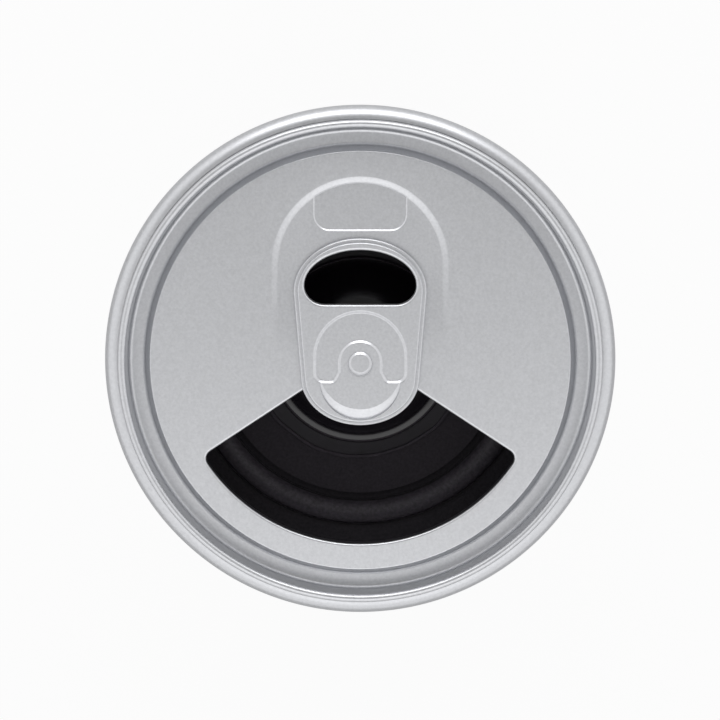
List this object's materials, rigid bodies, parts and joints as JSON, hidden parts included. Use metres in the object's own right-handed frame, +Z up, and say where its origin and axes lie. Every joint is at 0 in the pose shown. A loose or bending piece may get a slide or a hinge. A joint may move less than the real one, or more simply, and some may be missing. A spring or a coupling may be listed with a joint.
{
  "type": "can-shaped portable loudspeaker",
  "caption": "Portable loudspeaker shaped like a drinks can: open fan-shaped mouth in the lid over a small driver, riveted pull tab, rear control plate and rubber foot ring.",
  "frame": {"origin": "middle of the foot ring's underside, on the surface that the can stands on", "axes": "+Z up along the can, mouth of the lid towards -Y, control plate towards +Y"},
  "size_m": [0.066, 0.066, 0.115],
  "materials": {
    "silver_lacquer": "satin silver lacquer",
    "lacquered_aluminium": "satin silver lacquer",
    "black_abs": "matte moulded",
    "black_coated_steel": "satin black",
    "foam_rubber": "matte",
    "cone_paper": "matte",
    "cap_paper": "coated",
    "black_glue": "glossy",
    "kraft_paper": "matte",
    "copper_wire": "enamelled copper",
    "treated_cloth": "matte",
    "zinc_plated_steel": "zinc plated",
    "ferrite": "matte",
    "foot_rubber": "matte",
    "green_fr4": "solder mask",
    "capacitor_aluminium": "bright",
    "plated_steel": "bright",
    "led_epoxy": "clear",
    "cell_foil": "satin",
    "red_pvc": "satin",
    "black_pvc": "satin"
  },
  "bodies": {
    "can": {"lid": "silver_lacquer", "tab_rivet": "silver_lacquer", "body_shell": "lacquered_aluminium", "inner_frame": "black_abs", "base_cap": "black_abs", "control_plate": "black_abs", "audio_socket": "black_abs", "battery_bracket": "black_abs", "amplifier_chip": "black_abs", "driver_basket": "black_coated_steel", "surround": "foam_rubber", "driver_gasket": "foam_rubber", "terminal_board": "kraft_paper", "spider": "treated_cloth", "top_plate": "zinc_plated_steel", "yoke": "zinc_plated_steel", "lid_screw_1": "zinc_plated_steel", "lid_screw_2": "zinc_plated_steel", "lid_screw_3": "zinc_plated_steel", "base_screw_1": "zinc_plated_steel", "base_screw_2": "zinc_plated_steel", "base_screw_3": "zinc_plated_steel", "board_screw_1": "zinc_plated_steel", "board_screw_2": "zinc_plated_steel", "board_screw_3": "zinc_plated_steel", "ring_magnet": "ferrite", "foot_ring": "foot_rubber", "circuit_board": "green_fr4", "filter_capacitor_1": "capacitor_aluminium", "filter_capacitor_2": "capacitor_aluminium", "usb_socket": "plated_steel", "power_switch_body": "plated_steel", "status_led": "led_epoxy", "battery_cell": "cell_foil", "speaker_wire_red": "red_pvc", "battery_wire_red": "red_pvc", "speaker_wire_black": "black_pvc", "battery_wire_black": "black_pvc"},
    "tab": {"pull_tab": "silver_lacquer"},
    "cone_assembly": {"cone": "cone_paper", "dust_cap": "cap_paper", "cap_glue_bead": "black_glue", "voice_coil_former": "kraft_paper", "voice_coil": "copper_wire"},
    "switch_slider": {"power_switch_slider": "black_abs"}
  },
  "joints": [
    {"name": "tab_swivel", "type": "hinge", "parent": "can", "child": "tab", "pos_m": [0, 0, 0.1132], "axis": [0, 0, 1], "range_deg": [-15, 15]},
    {"name": "cone_excursion", "type": "slide", "parent": "can", "child": "cone_assembly", "axis": [0, 0, 1], "range_m": [-0.0015, 0.0015], "stiffness_N_per_m": 1500, "deforming": ["surround", "spider"]},
    {"name": "power_switch", "type": "slide", "parent": "can", "child": "switch_slider", "axis": [1, 0, 0], "range_m": [0, 0.002]}
  ]
}
